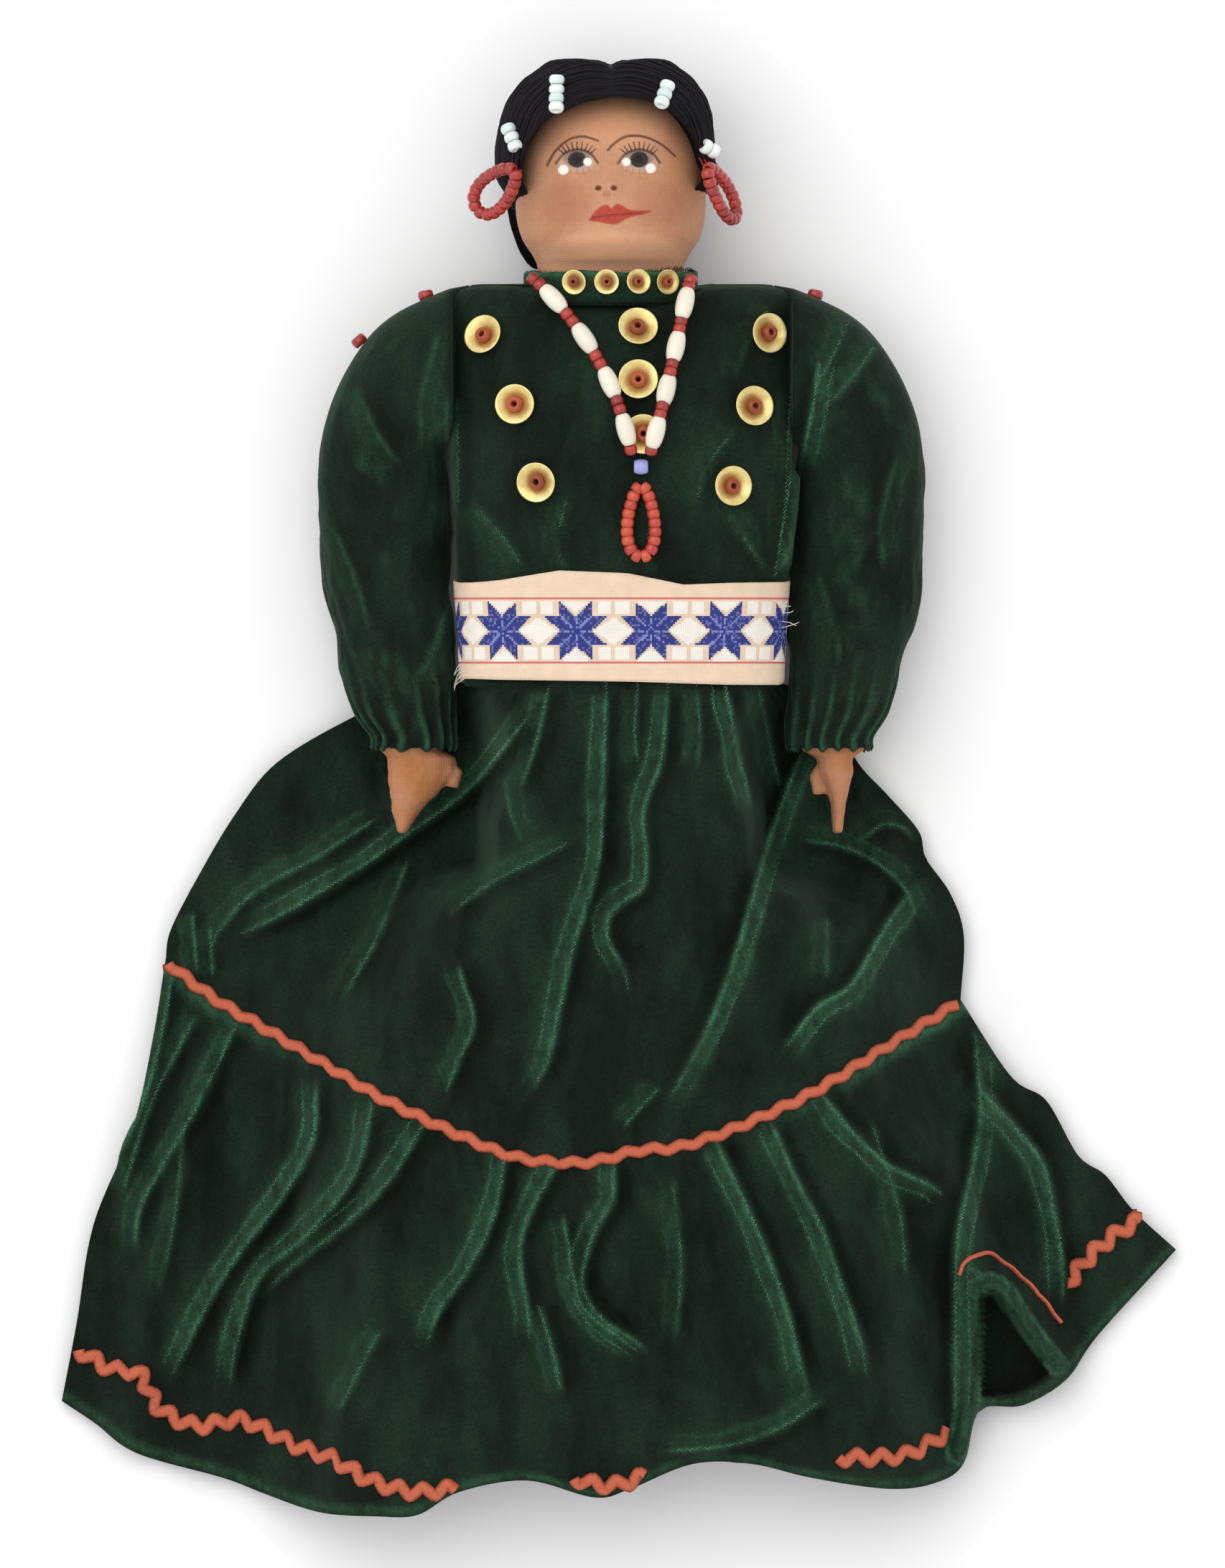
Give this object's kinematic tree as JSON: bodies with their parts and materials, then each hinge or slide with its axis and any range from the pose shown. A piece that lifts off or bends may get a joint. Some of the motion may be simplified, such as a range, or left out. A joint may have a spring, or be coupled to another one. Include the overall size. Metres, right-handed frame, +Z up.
{
  "type": "cloth doll",
  "caption": "Stuffed cloth doll with yarn hair, velvet blouse, ribbon belt, tiered skirt, bead jewellery and sequins, lying on its back.",
  "frame": {"origin": "middle of the bounding box, on the surface that the doll's back lies on", "axes": "+Y towards the crown of the head, +Z up out of the face, +X to the right of someone who looks down at the face"},
  "size_m": [0.2428, 0.3171, 0.0471],
  "materials": {
    "velvet": "dark green cotton velvet",
    "cotton_skin": "brown plain-weave cotton",
    "hair_floss": "black yarn",
    "wool_tie": "white wool",
    "belt_ribbon": "woven jacquard ribbon",
    "rickrack": "coral braid",
    "suede": "red-brown suede",
    "red_glass": "opaque glass beads",
    "white_glass": "opaque pale glass beads",
    "blue_glass": "pale blue glass bead",
    "sequin": "metallised gold cup sequin with an amber bead"
  },
  "bodies": {
    "doll": {"stuffed_body": "cotton_skin", "blouse_body": "velvet", "collar_band": "velvet", "belt_ribbon": "belt_ribbon", "skirt_tier_front": "velvet", "skirt_tier_back": "velvet", "skirt_ruffle_front": "velvet", "skirt_ruffle_back": "velvet", "tier_rickrack_front": "rickrack", "tier_rickrack_back": "rickrack", "hem_rickrack_front": "rickrack", "hem_rickrack_back": "rickrack", "sequin_left_upper": "sequin", "sequin_left_middle": "sequin", "sequin_left_lower": "sequin", "sequin_centre_upper": "sequin", "sequin_centre_middle": "sequin", "sequin_centre_lower": "sequin", "sequin_right_upper": "sequin", "sequin_right_middle": "sequin", "sequin_right_lower": "sequin", "collar_sequin_outer_left": "sequin", "collar_sequin_inner_left": "sequin", "collar_sequin_inner_right": "sequin", "collar_sequin_outer_right": "sequin"},
    "head": {"head": "cotton_skin", "hair_cap": "hair_floss", "hair_bun": "hair_floss", "bun_tie": "wool_tie", "hair_beads_inner_left": "white_glass", "hair_beads_inner_right": "white_glass", "hair_beads_outer_left": "white_glass", "hair_beads_outer_right": "white_glass"},
    "arm_left": {"arm_left": "cotton_skin", "sleeve_left": "velvet", "shoulder_bead_left_inner": "red_glass", "shoulder_bead_left_outer": "red_glass"},
    "arm_right": {"arm_right": "cotton_skin", "sleeve_right": "velvet", "shoulder_bead_right": "red_glass"},
    "leg_left": {"leg_left": "cotton_skin", "moccasin_left": "suede"},
    "leg_right": {"leg_right": "cotton_skin", "moccasin_right": "suede"},
    "earring_left": {"earring_left": "red_glass"},
    "earring_right": {"earring_right": "red_glass"},
    "necklace": {"necklace_strand_left": "red_glass", "necklace_strand_right": "red_glass", "necklace_blue_bead": "blue_glass"},
    "pendant": {"pendant_loop": "red_glass"}
  },
  "joints": [
    {"name": "shoulder_left", "type": "hinge", "parent": "doll", "child": "arm_left", "pos_m": [-0.0368, 0.0905, 0.02], "axis": [-1, 0, 0], "range_deg": [0, 100]},
    {"name": "shoulder_right", "type": "hinge", "parent": "doll", "child": "arm_right", "pos_m": [0.038, 0.0905, 0.02], "axis": [-1, 0, 0], "range_deg": [0, 100]},
    {"name": "head_turn", "type": "hinge", "parent": "doll", "child": "head", "pos_m": [-0.0018, 0.1075, 0.022], "axis": [0, 1, 0], "range_deg": [-15, 15], "stiffness_Nm_per_rad": 0.05},
    {"name": "hip_left", "type": "hinge", "parent": "doll", "child": "leg_left", "pos_m": [-0.0144, -0.0097, 0.0134], "axis": [0, 0, -1], "range_deg": [-3, 15]},
    {"name": "hip_right", "type": "hinge", "parent": "doll", "child": "leg_right", "pos_m": [0.0156, -0.0097, 0.0134], "axis": [0, 0, 1], "range_deg": [-3, 15]},
    {"name": "earring_left_swing", "type": "hinge", "parent": "head", "child": "earring_left", "pos_m": [-0.0228, 0.1343, 0.04011], "axis": [0, 1, 0], "range_deg": [0, 60]},
    {"name": "earring_right_swing", "type": "hinge", "parent": "head", "child": "earring_right", "pos_m": [0.0192, 0.1343, 0.04011], "axis": [0, -1, 0], "range_deg": [0, 60]},
    {"name": "necklace_lift", "type": "hinge", "parent": "doll", "child": "necklace", "pos_m": [0.0048, 0.11128, 0.03514], "axis": [-1, 0, 0], "range_deg": [0, 40]},
    {"name": "pendant_lift", "type": "hinge", "parent": "necklace", "child": "pendant", "pos_m": [0.0048, 0.06984, 0.04217], "axis": [-1, 0, 0], "range_deg": [0, 90]}
  ]
}
